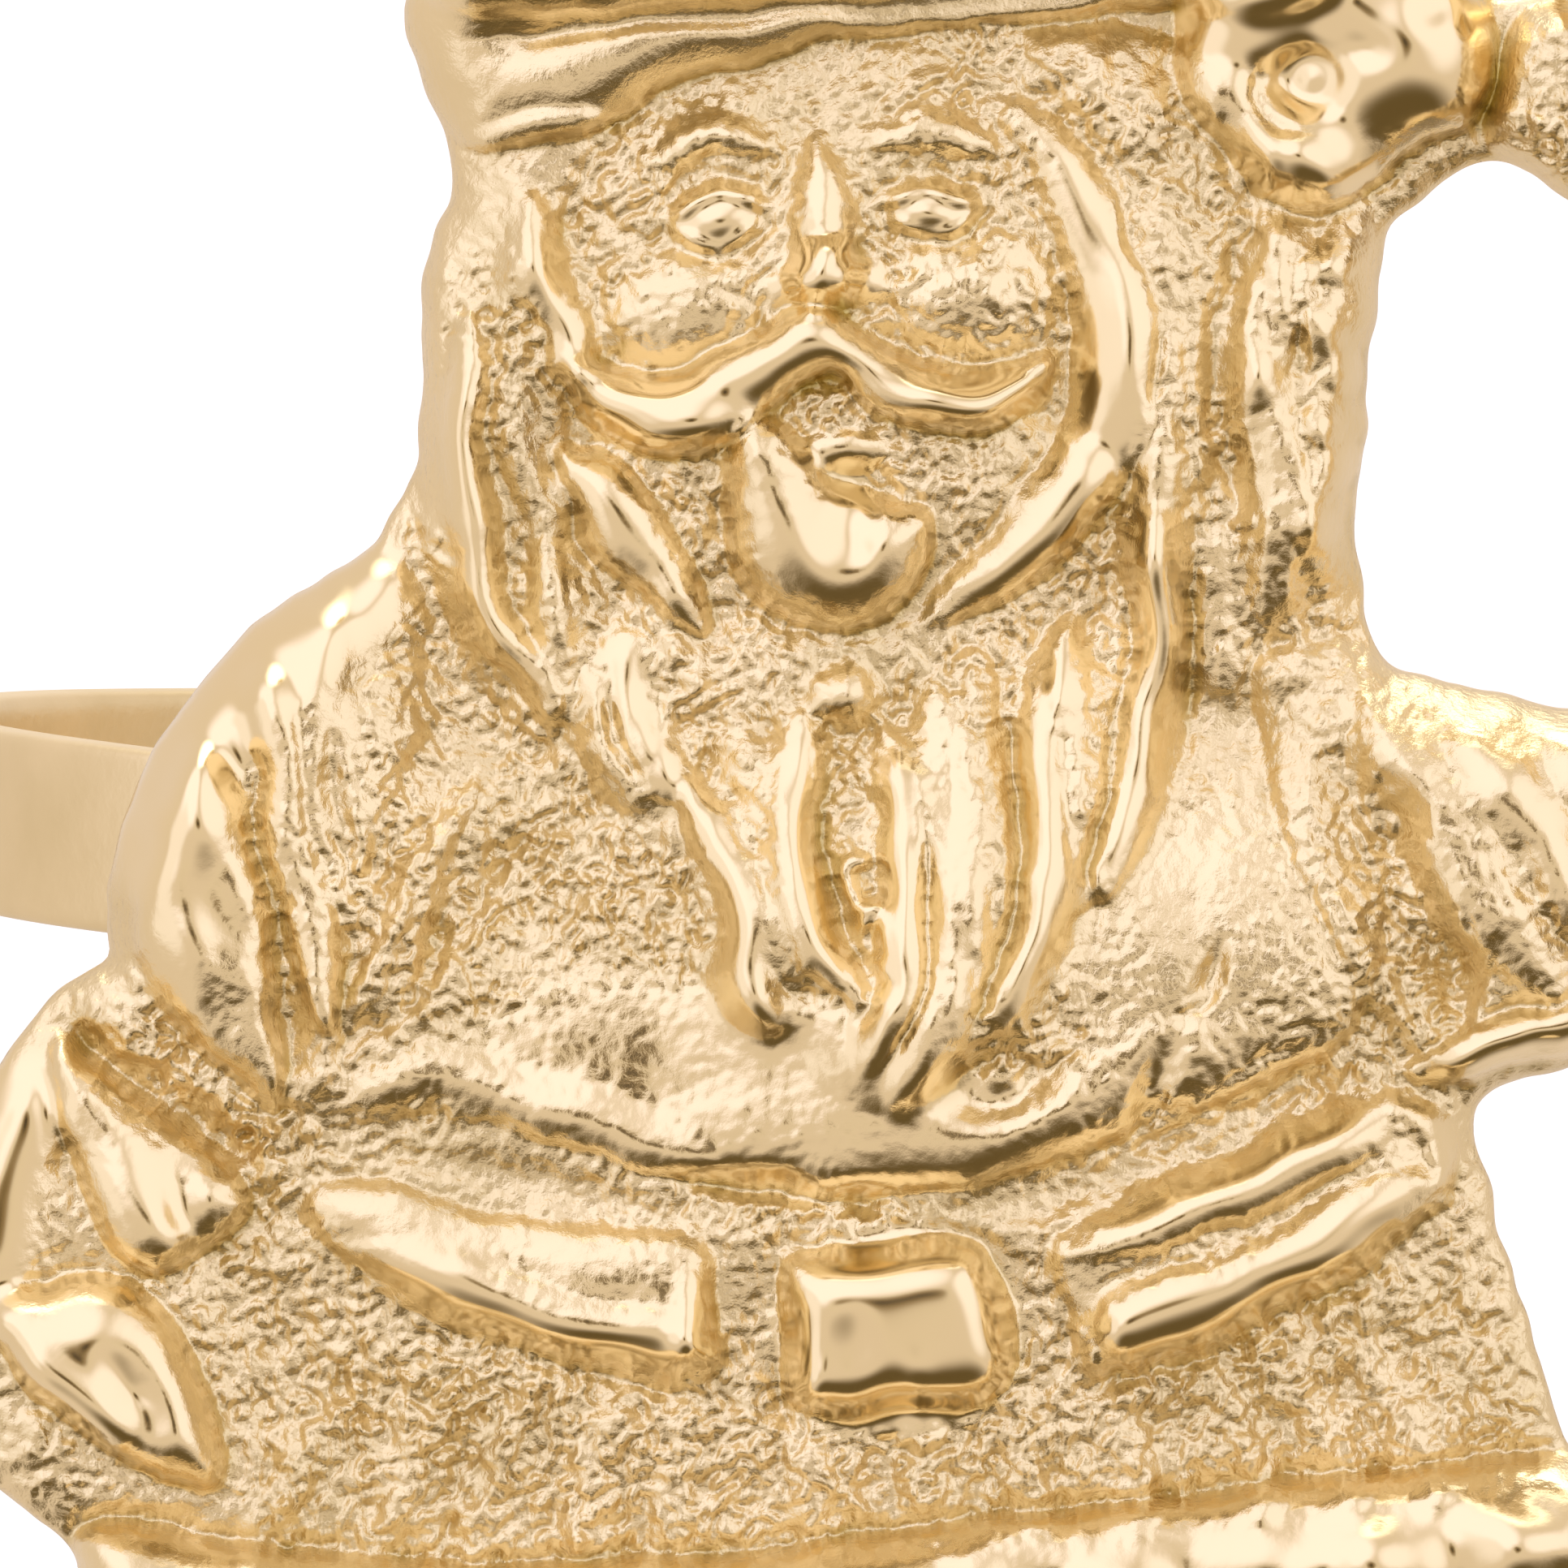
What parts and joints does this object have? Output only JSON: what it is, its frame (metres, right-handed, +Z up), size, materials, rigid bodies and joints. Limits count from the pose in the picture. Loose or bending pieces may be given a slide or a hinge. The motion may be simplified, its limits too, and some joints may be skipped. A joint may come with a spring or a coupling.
{
  "type": "napkin ring",
  "caption": "Plain round gold-finish band with a low relief casting of a Father Christmas figure brazed upright on its front; it holds a rolled napkin.",
  "frame": {"origin": "centre of the band's bore, at the middle of its height", "axes": "+Z up along the bore's axis, -Y the way the figure faces, +X to the right seen from the front"},
  "size_m": [0.047, 0.051, 0.0575],
  "materials": {
    "cast_gold": "polished high spots over a grained cast ground, pale gold plated",
    "satin_gold": "satin, pale gold plated, soft rounded edges",
    "braze": "smooth braze under the same plating"
  },
  "bodies": {
    "root": {"figure_casting": "cast_gold", "ring_band": "satin_gold", "braze_fillet_left": "braze", "braze_fillet_right": "braze", "braze_fillet_top": "braze", "braze_fillet_bottom": "braze"}
  },
  "joints": []
}
